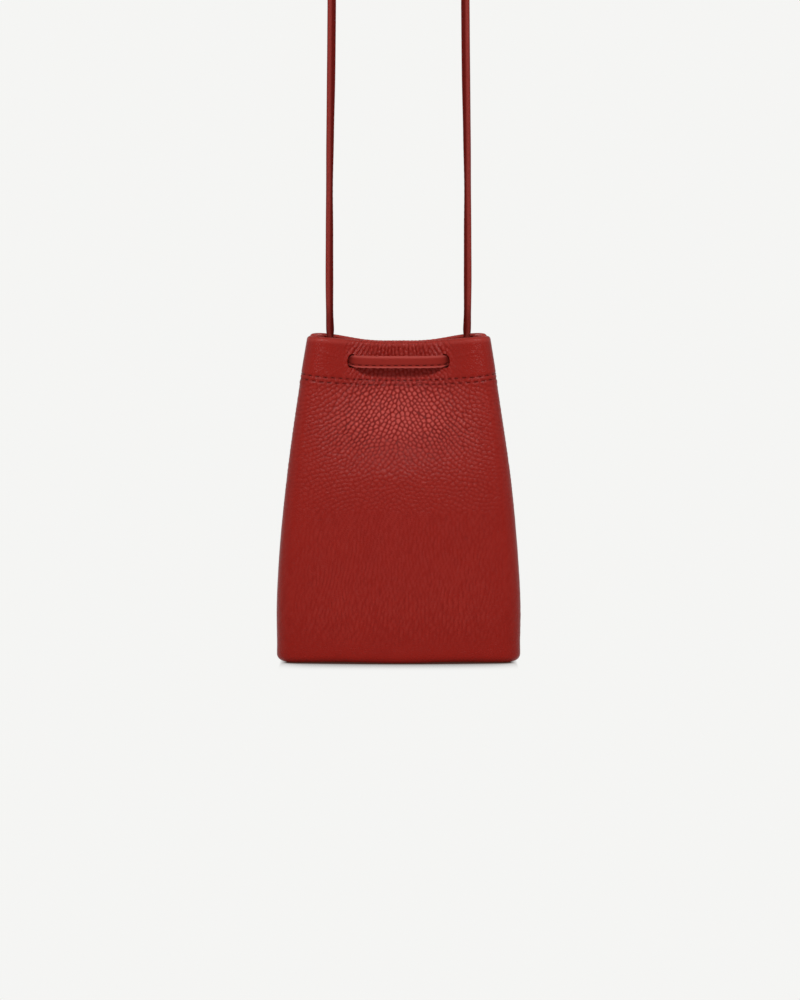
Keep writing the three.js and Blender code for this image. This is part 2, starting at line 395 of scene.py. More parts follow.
@dataclass
class LeatherRelief:
    """Gathers, beads, wrinkles and sewn grooves on a panel's outer face, in millimetres."""

    form: PouchForm
    seed: int
    grid_step: float = 0.5
    grid_half: float = 76.0
    grid_above: float = 8.0
    line_pitch: float = 2.1
    line_length: float = 3.2
    stray: Band = (0.6, 0.15)
    stray_size: float = 7.0
    fan_slope: float = 0.0135
    pleat_slope: float = 0.025
    pleat_rise: float = 0.38
    pleat_shade: float = 0.2
    flat_lean: float = 1.3
    middle: float = 0.6
    bead_gap: float = 2.1
    bead_rise: float = 1.12
    bead_stretch: float = 1.1
    bead_foot: Band = (0.05, 0.7)
    bead_top: Band = (0.45, 1)
    bead_levels: tuple[float, ...] = (8, 24, 60, 84, 104, 120, 136, 152, 160, 168)
    bead_shares: tuple[float, ...] = (0.1, 0.36, 0.26, 0.2, 0.34, 0.78, 1.0, 1.02, 0.5, 0.75)
    # Painted shade in the creases, weaker low down than on the fan.
    crease_shade: Band = (0.75, 1)
    # Painted highlight on the bead tops, partly rubbing, strongest in a pool round the middle of the fan.
    wear_and_painted_light: Band = (0.4, 1.6)
    highlight_height: float = 140.0
    highlight_reach: Band = (25, 15)
    wave_rise: float = 0.3
    wave_size: Band = (27, 48)
    stitch_rows: Band = (158.3, 155.6)
    stitch_flat: float = 4.3
    stitch_gathered: float = 3.5
    stitch_reach: float = 80.0
    stitch_places: int = 800
    groove_depth: float = 0.4
    groove_width: float = 0.7
    groove_between: float = 0.35
    groove_ends: Band = (0.1, 0.6)
    groove_press: float = 0.6
    groove_shade: float = 0.5
    hem_step: float = 0.3
    hem_edge: Band = (-1.2, 0.8)
    wrinkle_rise: float = 0.28
    wrinkle_start: Band = (1, 5)
    wrinkle_end: Band = (8, 24)
    wrinkle_bend: float = 0.4
    wrinkle_mask: Band = (-0.8, 0.2)
    lip_rise: float = 0.2
    lip_place: float = 1.1
    lip_reach: float = 0.5
    lip_start: Band = (-1, 2)

    def __post_init__(self) -> None:
        """Grows the lines along the gathers, and the beads of leather along those."""
        count = round(2 * self.grid_half / self.grid_step) + 1
        x = np.linspace(-self.grid_half, self.grid_half, count)[None, :]
        z = np.arange(0, self.form.height + self.grid_above, self.grid_step)[:, None]
        stray = soft_noise(x / self.stray_size, z / self.stray_size, self.seed + 6)
        lean = self.fan_lean(x, z) + blend(*self.stray, STEADY_HEIGHTS.at(x, z)) * stray
        sizes = (self.line_pitch, self.line_length, self.bead_gap)
        pitch, length, gap = (size / self.grid_step for size in sizes)
        self.lines = grow_lines(lean, pitch, length, self.seed)
        stretch = self.bead_stretch + PLEATED_BEADS.at(x, z) + LOW_BEADS.at(x, z) + WING_BEADS.at(x, z)
        self.beads = bead_heights(lean, place_beads(self.lines, gap, self.seed), pitch, stretch)

    def read(self, grid: Array, x: Array, z: Array) -> Array:
        """Reads a grown grid.

        Args:
            grid: its values, by row and column.
            x: places across the front.
            z: heights on the form.

        Returns:
            The values at those places.
        """
        last_row, last_column = (count - 1.001 for count in grid.shape)
        column = np.clip((x + self.grid_half) / self.grid_step, 0, last_column)
        row = np.clip(z / self.grid_step, 0, last_row)
        i, j = np.floor(row).astype(int), np.floor(column).astype(int)
        low = blend(grid[i, j], grid[i, j + 1], column - j)
        high = blend(grid[i + 1, j], grid[i + 1, j + 1], column - j)
        return blend(low, high, row - i)

    def fan_lean(self, x: Array, z: Array) -> Array:
        """Lean of the creases: a fan below the hem, and flatter beside it and under it.

        Args:
            x: places across the front.
            z: heights on the form.

        Returns:
            Angles from upright.
        """
        out = np.abs(x)
        slope = FAN_MIDDLE.at(x) + self.fan_slope * out + FAN_SIDES.at(x) + FAN_ENDS.at(x)
        lean = blend(np.arctan(slope), np.arctan(self.pleat_slope * out), PLEAT_HEIGHTS.at(x, z))
        lean = lean * FAN_HEIGHTS.at(x, z)
        return np.sign(x) * blend(lean, self.flat_lean, FLAT_CREASES.at(x, z))

    def standing(self, x: Array, z: Array) -> Array:
        """How strongly the beads stand out: most on the fan, and hardly beside the slits.

        Args:
            x: places across the front.
            z: heights on the form.

        Returns:
            Shares of their full height.
        """
        beside_fan = 1 - BESIDE_FAN.at(x, z) + WINGS.at(x, z)
        across = blend(beside_fan, 1 - BESIDE_SLITS.at(x), SLIT_HEIGHTS.at(x, z))
        across = across * (1 - UPRIGHT_EDGES.at(x))
        return across * np.interp(z, self.bead_levels, self.bead_shares)

    def stitch_count(self, x: Array) -> Array:
        """Stitches between the middle of the front and a place: they lie closer on the gathers."""
        across = np.linspace(0, self.stitch_reach, self.stitch_places + 1)
        pitch = blend(self.stitch_flat, self.stitch_gathered, CLOSE_STITCHES.at(across))
        return np.sign(x) * np.interp(np.abs(x), across, np.cumsum(across[1] / pitch))

    def sewn_grooves(self, x: Array, z: Array) -> Array:
        """Depth of the two sewn rows, deepest under each stitch.

        Args:
            x: places across the front.
            z: heights on the form.

        Returns:
            Shares of the full depth.
        """
        depth = 0
        for number, row in enumerate(self.stitch_rows):
            under = 0.5 + 0.5 * np.cos(2 * np.pi * (self.stitch_count(x) - 0.5 * number))
            line = np.exp(-(((z - row - ROW_RISE.at(x)) / self.groove_width) ** 2))
            depth = depth + blend(self.groove_between, 1, ramp(under, self.groove_ends)) * line
        return depth

    def heights(self, x: Array, z: Array) -> tuple[Array, Array, Array]:
        """Relief of the outer face.

        Args:
            x: places across the front.
            z: heights on the form.

        Returns:
            Heights, the share of painted shade (creases, pleat valleys and sewn grooves) and the share of
            painted highlight, partly rubbing, on the bead tops, both from 0 to 1.
        """
        line, bead = self.read(self.lines, x, z), self.read(self.beads, x, z)
        gather, grooves = PLEATS.at(x, z) + PLEAT_ENDS.at(x, z), self.sewn_grooves(x, z)
        strength = self.standing(x, z) * (1 - self.groove_press * np.clip(grooves, 0, 1))
        height = self.pleat_rise * gather * (line - self.middle)
        height = height + self.bead_rise * strength * (bead - self.middle)
        waves = soft_noise(x / self.wave_size[0], z / self.wave_size[1], self.seed + 2)
        height += self.wave_rise * waves * WAVY_HEIGHTS.at(x, z)
        height += self.slit_wrinkles(x, z) - self.groove_depth * grooves
        hem_low, hem_high = (self.form.hem_end + edge for edge in self.hem_edge)
        height -= self.hem_step * (1 - ramp(z, (hem_low, hem_high)))
        # Painted shade: the colour is darkened in the creases between the beads, in the pleat valleys and
        # in the sewn grooves, less so on the hem.
        crease_shading = strength * (1 - ramp(bead, self.bead_foot))
        crease_shading = crease_shading * blend(*self.crease_shade, FULL_CREASE_SHADE.at(x, z)) * (1 - LESS_SHADE_ON_HEM.at(x, z))
        painted_shade = crease_shading + self.pleat_shade * gather * (1 - line) + self.groove_shade * grooves
        # Painted highlight, partly rubbing: the bead tops are paler, most in a pool round the middle of the
        # fan.
        wide, high = self.highlight_reach
        highlight_pool = np.exp(-((x / wide) ** 2) - ((z - self.highlight_height) / high) ** 2)
        wear_and_highlight = strength * ramp(bead, self.bead_top) * blend(*self.wear_and_painted_light, highlight_pool)
        return height, np.clip(painted_shade, 0, 1), np.clip(wear_and_highlight, 0, 1)

    def slit_wrinkles(self, x: Array, z: Array) -> Array:
        """Fine wrinkles that run out of the slits towards the upright edges, and the lips of the slits.

        Args:
            x: places across the front.
            z: heights on the form.

        Returns:
            Heights of both.
        """
        height = z - self.form.sag(x, z)
        out, up = np.abs(x) - OUTER_SLIT.out, height - OUTER_SLIT.z
        angle, run = np.arctan2(up, out), np.hypot(out, up)
        near = ramp(out, self.wrinkle_start) * (1 - ramp(run, self.wrinkle_end))
        bend_size, ray_turn, ray_run, sharpness, mask_turn, mask_run = 11, 9, 60, 3, 4, 7
        bend = self.wrinkle_bend * soft_noise(x / bend_size, z / bend_size, self.seed + 9)
        rays = np.abs(soft_noise(angle * ray_turn + bend, run / ray_run, self.seed + 8))
        mask = soft_noise(angle * mask_turn, run / mask_run, self.seed + 10)
        rays = np.clip(1 - sharpness * rays, 0, 1) * ramp(mask, self.wrinkle_mask)
        lip = np.exp(-(((OUTER_SLIT.reach(x, height) - self.lip_place) / self.lip_reach) ** 2))
        return self.wrinkle_rise * near * rays + self.lip_rise * lip * ramp(out, self.lip_start)


# Meshes


def add_object(bm: BMesh, name: str, materials: Sequence[Material]) -> Piece:
    """Turns a bmesh into an object at the origin.

    Args:
        bm: the shape, in metres, which is freed.
        name: the object's name.
        materials: its material slots.

    Returns:
        The new object.
    """
    mesh = bpy.data.meshes.new(name)
    bm.to_mesh(mesh)
    bm.free()
    for material in materials:
        mesh.materials.append(material)
    piece = bpy.data.objects.new(name, mesh)
    bpy.context.scene.collection.objects.link(piece)
    return piece


def finish_mesh(bm: BMesh, name: str, materials: Sequence[Material], side: Side = Side.FRONT) -> Piece:
    """Turns a bmesh, in millimetres, into a piece of the pouch.

    Args:
        bm: the shape, made as on the front, which is freed.
        name: the piece's name.
        materials: its material slots.
        side: the half of the pouch that it belongs to.

    Returns:
        The new piece.
    """
    bmesh.ops.rotate(bm, cent=Vector(), matrix=side.turn, verts=bm.verts)
    bmesh.ops.scale(bm, vec=Vector((MM, MM, MM)), verts=bm.verts)
    piece = add_object(bm, name, materials)
    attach(piece, BODY)
    LOG.info("%s: %d faces", name, len(piece.data.polygons))
    return piece


def add_skin(bm: BMesh, points: Array, wear_and_painted_light: Array, flat: Array) -> dict:
    """Adds a smooth grid of leather and moves its vertices to their places.

    Args:
        bm: where the grid goes.
        points: places of the vertices, by row, column and axis.
        wear_and_painted_light: the share of painted shade, and the share of painted highlight with some
            rubbing, at each vertex.
        flat: places of the vertices on the flat leather.

    Returns:
        Row and column of each vertex.
    """
    uv = bm.loops.layers.uv.new("leather")
    shaded, wear_and_highlight = (bm.verts.layers.float.new(name) for name in ("painted_shade", "wear_and_highlight"))
    rows, columns = points.shape[:2]
    made = bmesh.ops.create_grid(bm, x_segments=columns - 1, y_segments=rows - 1, size=1.0)
    place = {vert: divmod(number, columns) for number, vert in enumerate(made["verts"])}
    for vert, at in place.items():
        vert.co = points[at]
        vert[shaded], vert[wear_and_highlight] = wear_and_painted_light[at]
    for face in bm.faces:
        face.smooth = True
        for loop in face.loops:
            loop[uv].uv = flat[place[loop.vert]] * MM
    return place


@dataclass(frozen=True)
class Thread:
    """Stitches of one thread, each a small rounded grain, in millimetres."""

    length: float
    width: float
    rise: float

    def sew(self, bm: BMesh, at: Vector, along: Vector, out: Vector) -> None:
        """Adds one stitch.

        Args:
            bm: where the stitch goes.
            at: its middle.
            along: its direction.
            out: the direction out of the leather.
        """
        along = along.normalized()
        side = out.cross(along).normalized()
        turn = Matrix((along, side, along.cross(side))).transposed().to_4x4()
        place = Matrix.Translation(at) @ turn
        place = place @ Matrix.Diagonal((self.length / 2, self.width / 2, self.rise / 2, 1))
        made = bmesh.ops.create_uvsphere(bm, u_segments=6, v_segments=4, radius=1, matrix=place)
        for vert in made["verts"]:
            for face in vert.link_faces:
                face.smooth = True


@dataclass
class Panel:
    """One leather panel: the front or back wall with half of each side, its turned hem and its slits."""

    form: PouchForm
    side: Side
    relief: LeatherRelief
    mouth_draw: float
    # Strength of the painted highlight along the rim.
    rim_highlight: float
    front_steps: int = 240
    edge_steps: int = 8
    side_steps: int = 10
    side_spread: float = 1.6
    fine_from: float = 84.0
    low_rows: int = 40
    high_rows: int = 192
    hem_rows: int = 22
    inside_rows: int = 16
    roll_rows: int = 6
    rim_rows: int = 9
    relief_start: float = 12.0
    least_relief: float = 0.001
    seam_round: float = 1.4
    draw_heights: Band = (145, 180)
    draw_forward: Band = (0.2, 1)
    relief_forward: Band = (0.55, 1)
    rim_heights: Band = (176.4, 178.3)
    weld: float = 1e-4
    hem_thread: Thread = Thread(length=2.5, width=0.5, rise=0.42)

    def __post_init__(self) -> None:
        """Works out the panel's skin."""
        self.node = self.side.name.lower() + "_panel"
        self.z, self.inset, self.share = self.rows()
        self.points, self.normals, self.wear_and_painted_light, self.flat = self.surface()

    def columns(self) -> tuple[Array, Array, Array]:
        """Lays out the columns round the front half.

        Returns:
            How far across, turned and forward each column is.
        """
        side = np.linspace(0, 1, self.side_steps, endpoint=False) ** self.side_spread
        edge = np.linspace(-math.pi / 2, 0, self.edge_steps, endpoint=False)
        front = np.linspace(-1, 1, self.front_steps + 1)
        left_turn = np.concatenate([np.full(side.size, -math.pi / 2), edge])
        left_forward = np.concatenate([side, np.ones(edge.size)])
        ends = np.full(left_turn.size, 1.0)
        across = np.concatenate([-ends, front, ends])
        turn = np.concatenate([left_turn, front * 0, -left_turn[::-1]])
        forward = np.concatenate([left_forward, front * 0 + 1, left_forward[::-1]])
        return across, turn, forward

    def rows(self) -> tuple[Array, Array, Array]:
        """Lays out the rows: up the outer face, over the rim and down inside.

        Returns:
            Height, inset and share of relief of each row.
        """
        form, least = self.form, self.least_relief
        thick, radius, top = form.leather, form.edge_radius, form.height - form.leather
        flange = radius + form.under_flange
        inner = radius - thick
        roll = np.linspace(math.pi / 2, 0, self.roll_rows, endpoint=False)
        rim = np.linspace(0, math.pi, self.rim_rows)[1:-1]
        low = np.linspace(radius, self.fine_from, self.low_rows, endpoint=False)
        high = np.linspace(self.fine_from, top, self.high_rows)
        hem = np.linspace(top, form.hem_end + 0.5, self.hem_rows)
        inside = np.linspace(form.hem_end, radius + 1, self.inside_rows)
        turn = np.linspace(0, math.pi / 2, 4)
        rows = [
            ([0.0], [flange], [0.0]),
            (radius * (1 - np.sin(roll)), radius * (1 - np.cos(roll)), roll * 0 + least),
            (low, low * 0, least + (1 - least) * ramp(low, (radius, self.relief_start))),
            (high, high * 0, high * 0 + 1),
            (top + thick * np.sin(rim), thick * (1 - np.cos(rim)), np.cos(rim / 2) ** 6),
            (hem, hem * 0 + 2 * thick, hem * 0),
            (inside, inside * 0 + thick, inside * 0),
            (thick + inner * (1 - np.sin(turn)), thick + inner * (1 - np.cos(turn)), turn * 0),
            ([thick, 0.0], [flange, flange], [0.0, 0.0]),
        ]
        return tuple(np.concatenate(part) for part in zip(*rows))

    def surface(self) -> tuple[Array, Array, Array, Array]:
        """Works out the whole skin.

        Returns:
            Points, normals, the share of painted shade and of painted highlight (partly rubbing) at each
            point, and flat places on the leather.
        """
        across, turn, forward = (part[None, :] for part in self.columns())
        z, inset, share = (part[:, None] for part in (self.z, self.inset, self.share))
        seam = forward * self.form.base_depth / 2
        tuck = self.seam_round * np.clip(1 - seam / self.seam_round, 0, 1) ** 2 * (share > 0)
        points = self.form.wall(across, turn, forward, z + across * 0, inset + tuck)
        draw = self.mouth_draw * ramp(z, self.draw_heights) * ramp(forward, self.draw_forward)
        points[..., 0] *= 1 - draw
        along = np.gradient(points, axis=1)
        up = np.gradient(points, axis=0)
        normals = np.cross(along, up)
        normals /= np.linalg.norm(normals, axis=-1, keepdims=True) + 1e-12
        height, painted_shade, wear_and_highlight = self.relief.heights(points[..., 0], z + across * 0)
        face = share * ramp(forward, self.relief_forward)
        points = points + normals * (height * face)[..., None]
        flat_u = np.cumsum(np.linalg.norm(along, axis=-1), axis=1)
        flat_u -= flat_u[:, [flat_u.shape[1] // 2]]
        flat_v = np.cumsum(np.linalg.norm(up, axis=-1), axis=0)
        # Painted highlight along the rounded rim of the outer layers.
        rim = self.rim_highlight * ramp(z, self.rim_heights) * (inset < 2 * self.form.leather)
        wear_and_painted_light = np.stack([painted_shade * face, np.maximum(wear_and_highlight * face, rim)], -1)
        return points, normals, wear_and_painted_light, np.stack([flat_u, flat_v], -1)

    def form_line(self, row: int) -> Array:
        """Places across the front of one row, before its relief."""
        across, turn, forward = self.columns()
        return self.form.wall(across, turn, forward, self.z[row] + across * 0, 0)[:, 0]

    def outer_line(self, values: Array, heights: Array) -> Array:
        """Reads one value of the outer face in each column.

        Args:
            values: what is read, by row and column.
            heights: where, by column.

        Returns:
            The values, by column.
        """
        outer = np.flatnonzero(self.share == 1)
        place = np.interp(heights, self.z[outer], outer)
        low, column = np.floor(place).astype(int), np.arange(place.size)
        return blend(values[low, column], values[low + 1, column], (place - low)[:, None])

    def cut_slit(self, bm: BMesh, faces: list, place: SlitPlace, sign: int) -> list:
        """Opens one slit in one layer of leather.

        Args:
            bm: the panel's skin.
            faces: the faces of that layer, which lose those in the slit.
            place: the slit's outline.
            sign: -1 for the left slit, 1 for the right one.

        Returns:
            The edges round the slit.
        """
        middles = [(face, face.calc_center_median()) for face in faces]
        gone = [face for face, at in middles if sign * at.x > 0 and place.reach(at.x, at.z) < 1]
        lost = set(gone)
        faces[:] = [face for face in faces if face not in lost]
        edges = dict.fromkeys(edge for face in gone for edge in face.edges)
        border = [edge for edge in edges if any(face not in lost for face in edge.link_faces)]
        bmesh.ops.delete(bm, geom=gone, context="FACES")
        for vert in dict.fromkeys(vert for edge in border for vert in edge.verts):
            vert.normal_update()
            across = (vert.co.x - sign * place.out) / place.half_width
            angle = math.atan2((vert.co.z - place.z) / place.half_height, across)
            target = Vector((
                sign * place.out + place.half_width * math.cos(angle),
                vert.co.y,
                place.z + place.half_height * math.sin(angle),
            ))
            shift = target - vert.co
            vert.co += shift - vert.normal * shift.dot(vert.normal)
        return border

    def build(self, *finishes: Material) -> Piece:
        """Makes the panel.

        Args:
            finishes: those of the leather's outer side, of its inner side and of the turned rim.

        Returns:
            The panel.
        """
        bm = bmesh.new()
        place = add_skin(bm, self.points, self.wear_and_painted_light, self.flat)
        flesh, rim = 1, 2
        outer, inner = [], []
        for face in bm.faces:
            i = min(place[vert][0] for vert in face.verts)
            in_hem = self.z[i] > self.form.hem_end
            if self.share[i] == 1:
                outer.append(face)
            elif in_hem and self.inset[i] > 1.9 * self.form.leather:
                inner.append(face)
            elif self.share[i] == 0 and i > 0:
                face.material_index = flesh
            elif in_hem:
                face.material_index = rim
        for sign in (-1, 1):
            lips = self.cut_slit(bm, outer, OUTER_SLIT, sign) + self.cut_slit(bm, inner, INNER_SLIT, sign)
            for face in bmesh.ops.bridge_loops(bm, edges=lips)["faces"]:
                face.material_index = flesh
                face.smooth = True
        bmesh.ops.remove_doubles(bm, verts=bm.verts, dist=self.weld)
        bmesh.ops.holes_fill(bm, edges=[edge for edge in bm.edges if edge.is_boundary], sides=0)
        piece = finish_mesh(bm, self.node + "_leather", finishes, self.side)
        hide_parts(self.node)
        return piece

    def stitch(self, thread: Material) -> Piece:
        """Sews the two rows of stitches round the hem.

        Args:
            thread: the thread's finish.

        Returns:
            The stitches.
        """
        bm = bmesh.new()
        on_front = np.abs(self.columns()[1]) < 1e-6
        margin = 0.3
        for number, height in enumerate(self.relief.stitch_rows):
            row = int(np.argmin(np.abs(self.z - height) + 99 * (self.share < 1)))
            front = self.form_line(row)
            wanted = height + ROW_RISE.at(front)
            line, normals = self.outer_line(self.points, wanted), self.outer_line(self.normals, wanted)
            by_length = np.diff(run_of(line)) / self.relief.stitch_flat
            by_place = np.diff(self.relief.stitch_count(front))
            steps = np.where(on_front[1:] & on_front[:-1], by_place, by_length)
            count = np.concatenate([[0], np.cumsum(steps)])
            count += 0.5 * number - count[len(count) // 2]
            for stitch in range(math.ceil(count[0] + margin), math.floor(count[-1] - margin) + 1):
                behind, at, ahead = (
                    Vector(read_line(stitch + shift, count, line)) for shift in (-margin, 0, margin)
                )
                self.hem_thread.sew(bm, at, ahead - behind, Vector(read_line(stitch, count, normals)))
        piece = finish_mesh(bm, self.node + "_hem_stitches", [thread], self.side)
        return piece


@dataclass
class BasePanel:
    """The flat leather bottom, set inside the panels' rolled edges."""

    form: PouchForm
    segments: int = 160
    rounding: float = 0.4
    sharp_angle: float = 1.0

    def build(self, leather: Material) -> Piece:
        """Makes the bottom.

        Args:
            leather: its finish.

        Returns:
            The bottom.
        """
        form = self.form
        inset = form.edge_radius + form.under_flange + form.base_gap
        bm = bmesh.new()
        made = bmesh.ops.create_circle(bm, cap_ends=True, segments=self.segments, radius=1)
        half = form.half_width(np.zeros(1))[0] - inset
        depth = form.base_depth / 2 - inset
        corner = form.base_corner - inset
        for vert in made["verts"]:
            way = Vector(vert.co)
            reach = min(half / max(abs(way.x), 1e-6), depth / max(abs(way.y), 1e-6))
            vert.co = self.outline_point(way * reach, half, depth, corner)
        bottom = list(bm.faces)
        wall = bmesh.ops.extrude_face_region(bm, geom=bottom)["geom"]
        top = [part for part in wall if isinstance(part, bmesh.types.BMVert)]
        bmesh.ops.translate(bm, vec=Vector((0, 0, form.leather)), verts=top)
        bmesh.ops.recalc_face_normals(bm, faces=bm.faces)
        rims = [edge for edge in bm.edges if edge.calc_face_angle(0) > self.sharp_angle]
        bmesh.ops.bevel(
            bm, geom=rims, offset=self.rounding, segments=2, profile=0.5, affect="EDGES", material=-1
        )
        piece = finish_mesh(bm, "base_panel_leather", [leather])
        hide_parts("base_panel")
        return piece

    def outline_point(self, at: Vector, half: float, depth: float, corner: float) -> Vector:
        """Moves a point of a plain rectangle to the bottom's rounded and swelled outline.

        Args:
            at: a point on the rectangle.
            half: half the width.
            depth: half the depth at the corners.
            corner: radius of the corners.

        Returns:
            The point on the outline.
        """
        core = Vector((
            max(corner - half, min(half - corner, at.x)),
            max(corner - depth, min(depth - corner, at.y)),
            0,
        ))
        point = core + (at - core).normalized() * corner
        swell = 1 + self.form.bulge * (1 - (point.x / half) ** 2) / depth
        return Vector((point.x, point.y * swell, 0))


# Route of the front strap, from the middle of its front run to the top of its loop, in metres:
# each point with the direction that the strap's folded edge faces there. The other half mirrors it.
STRAP_ROUTE = (
    ((0, -0.014838, 0.1658), (0, -0.05, 1)),
    ((-0.012, -0.014438, 0.1658), (0, -0.05, 1)),
    ((-0.0187, -0.013138, 0.1658), (0, 0, 1)),
    ((-0.0232, -0.011038, 0.1659), (0, 0, 1)),
    ((-0.0272, -0.007938, 0.1665), (0.3, -0.1, 1)),
    ((-0.0307, -0.004638, 0.1688), (0.5, -0.5, 0.8)),
    ((-0.0362, -0.00565, 0.1726), (0.3, -0.9, 0.4)),
    ((-0.0376, -0.00485, 0.1774), (-0.1, -1, 0.1)),
    ((-0.038, -0.00465, 0.1834), (-0.35, -1, 0)),
    ((-0.0382, -0.00465, 0.1928), (-0.26, -1, 0)),
    ((-0.0383, -0.00465, 0.2108), (-0.34, -1, 0)),
    ((-0.0382, -0.00465, 0.2358), (-0.3, -1, 0)),
    ((-0.0381, -0.00465, 0.2608), (-0.2, -1, 0)),
    ((-0.0377, -0.00465, 0.2908), (-0.32, -1, 0)),
    ((-0.0371, -0.00465, 0.3258), (-0.44, -1, 0)),
    ((-0.0367, -0.00465, 0.3608), (-0.45, -1, 0)),
    ((-0.0364, -0.00465, 0.386), (-0.25, -1, 0)),
    ((-0.031668, -0.00465, 0.405), (0, -1, 0)),
    ((-0.0182, -0.00465, 0.41906), (0, -1, 0)),
    ((0, -0.00465, 0.424), (0, -1, 0)),
)


@dataclass
class Strap:
    """A closed loop of folded leather strap, sewn along its open edge, in millimetres."""

    side: Side
    width: float = 7.0
    thickness: float = 3.0
    step: float = 0.8
    around: int = 14
    flatness: float = 0.9
    fold_start: float = 1.4
    cut_round: float = 0.55
    stitch_pitch: float = 3.95
    sewn_line: float = -1.6
    groove: float = 0.42
    groove_width: float = 0.45
    lip: float = 0.14
    lip_band: Band = (1.4, 2.2)
    scallop: float = 0.28
    scallop_band: Band = (1.8, 3.2)
    slit_press: float = 0.17
    press_out: float = 1.2
    press_reach: float = 2.0
    press_top: float = 172.0
    # Painted shade where the slits press the strap, on the upright strands and at their feet; painted
    # highlight along the fold and the lip.
    press_shade: float = 3.0
    thin_press: float = 1.4
    fold_highlight: float = 0.8
    fold_highlight_band: Band = (1.9, 3.1)
    lip_highlight_band: Band = (2.0, 2.8)
    strand_start: float = 176.0
    strand_shade: float = 0.5
    foot_shade: float = 0.22
    foot_band: Band = (188, 202)
    cord_start: Point = (-27.5, -9, 166)
    weld: float = 1e-3
    edge_thread: Thread = Thread(length=2.7, width=0.6, rise=0.46)

    def __post_init__(self) -> None:
        """Works out the strap's centreline and its frames."""
        self.node = self.side.name.lower() + "_strap"
        mirror = np.array([-1, 1, 1])
        half = np.array(STRAP_ROUTE)
        half[:, 0] /= MM
        knots, facing = self.smooth_loop(np.concatenate([half, half[-2:0:-1] * mirror]))
        run = run_of(knots)
        self.length = run[-1]
        stitches = round(self.length / self.stitch_pitch)
        self.stitch_pitch = self.length / stitches
        self.run = np.linspace(0, self.length, stitches * round(self.stitch_pitch / self.step) + 1)
        self.at = read_line(self.run, run, knots)
        face = read_line(self.run, run, facing)
        inner = self.at[:-1]
        tangent = np.roll(inner, -1, axis=0) - np.roll(inner, 1, axis=0)
        self.along = np.concatenate([tangent, tangent[:1]])
        self.along /= np.linalg.norm(self.along, axis=1, keepdims=True)
        self.across = face - self.along * (face * self.along).sum(1, keepdims=True)
        self.across /= np.linalg.norm(self.across, axis=1, keepdims=True)
        self.inward = np.cross(self.along, self.across)

    def smooth_loop(self, route: Array, steps: int = 40) -> tuple[Array, Array]:
        """Closed smooth curve through the route's points, its knots spaced by the root of their distance.

        Args:
            route: points and facings, by point, kind and axis.
            steps: pieces between two points.

        Returns:
            Points of the curve and the facing at each, the first repeated at the end.
        """
        count = len(route)
        curve, facing = [], []
        for i in range(count):
            p0, p1, p2, p3 = (route[(i + k) % count, 0] for k in (-1, 0, 1, 2))
            gaps = [math.sqrt(np.linalg.norm(b - a)) for a, b in ((p0, p1), (p1, p2), (p2, p3))]
            start = (p1 - p0) / gaps[0] - (p2 - p0) / (gaps[0] + gaps[1]) + (p2 - p1) / gaps[1]
            end = (p2 - p1) / gaps[1] - (p3 - p1) / (gaps[1] + gaps[2]) + (p3 - p2) / gaps[2]
            start, end = start * gaps[1], end * gaps[1]
            t = np.linspace(0, 1, steps, endpoint=False)[:, None]
            square, cube = 3 * (p2 - p1) - 2 * start - end, 2 * (p1 - p2) + start + end
            curve.append(p1 + start * t + square * t**2 + cube * t**3)
            facing.append(blend(route[i, 1], route[(i + 1) % count, 1], ramp(t, (0, 1))))
        return np.concatenate(curve + [curve[0][:1]]), np.concatenate(facing + [facing[0][:1]])

    def section(self) -> tuple[Array, Array]:
        """Outline of the strap.

        Returns:
            Places across its width, and -1 on its outer face or 1 on its inner one.
        """
        turn = np.linspace(0, math.pi, self.around * 2 + 1)
        places = self.width / 2 * np.sign(np.cos(turn)) * np.abs(np.cos(turn)) ** self.flatness
        across = np.concatenate([places, places[-2:0:-1]])
        face = np.concatenate([-np.ones(places.size), np.ones(places.size - 2)])
        return across, face

    def half_thickness(self, across: Array, run: Array) -> Array:
        """Half the strap's thickness: a full fold at one edge, and a sewn groove and a lip at the other.

        Args:
            across: places across its width.
            run: distances along it.

        Returns:
            The half thickness at each.
        """
        half = self.width / 2
        into_fold = np.clip((across - self.fold_start) / (half - self.fold_start), 0, 1)
        fold = np.sqrt(np.clip(1 - into_fold**2, 0, 1))
        into_cut = np.clip((-across - half + self.cut_round) / self.cut_round, 0, 1)
        cut_edge = np.clip(1 - into_cut**2, 0, 1) ** 0.5
        pucker = 0.55 + 0.45 * np.cos(2 * np.pi * run / self.stitch_pitch)
        line = np.exp(-(((across - self.sewn_line) / self.groove_width) ** 2))
        sewn = self.groove * (0.6 + 0.4 * pucker) * line
        lip = self.lip * ramp(-across, self.lip_band) * (1 + 0.8 * pucker)
        return (self.thickness / 2 - sewn - lip) * np.minimum(fold, cut_edge)

    def squeeze(self) -> Array:
        """Share of its width that the strap keeps: the slits press its edges together."""
        out = (np.abs(self.at[:, 0]) - OUTER_SLIT.out - self.press_out) / self.press_reach
        return 1 - self.slit_press * np.exp(-(out**2)) * (self.at[:, 2] < self.press_top)

    def build(self, leather: Material, thread: Material) -> Piece:
        """Makes the strap and its stitches.

        Args:
            leather: the strap's finish.
            thread: the stitches' finish.

        Returns:
            The strap.
        """
        across, face = (part[None, :] for part in self.section())
        run, press = self.run[:, None], self.squeeze()[:, None]
        thick = face * self.half_thickness(across, run) * press**self.thin_press
        pucker = np.sin(np.pi * run / self.stitch_pitch) ** 2
        across = across + self.scallop * pucker * ramp(-across, self.scallop_band)
        across = across * press
        points = self.at[:, None] + across[..., None] * self.across[:, None]
        points = points + thick[..., None] * self.inward[:, None]
        points = np.concatenate([points, points[:, :1]], 1)
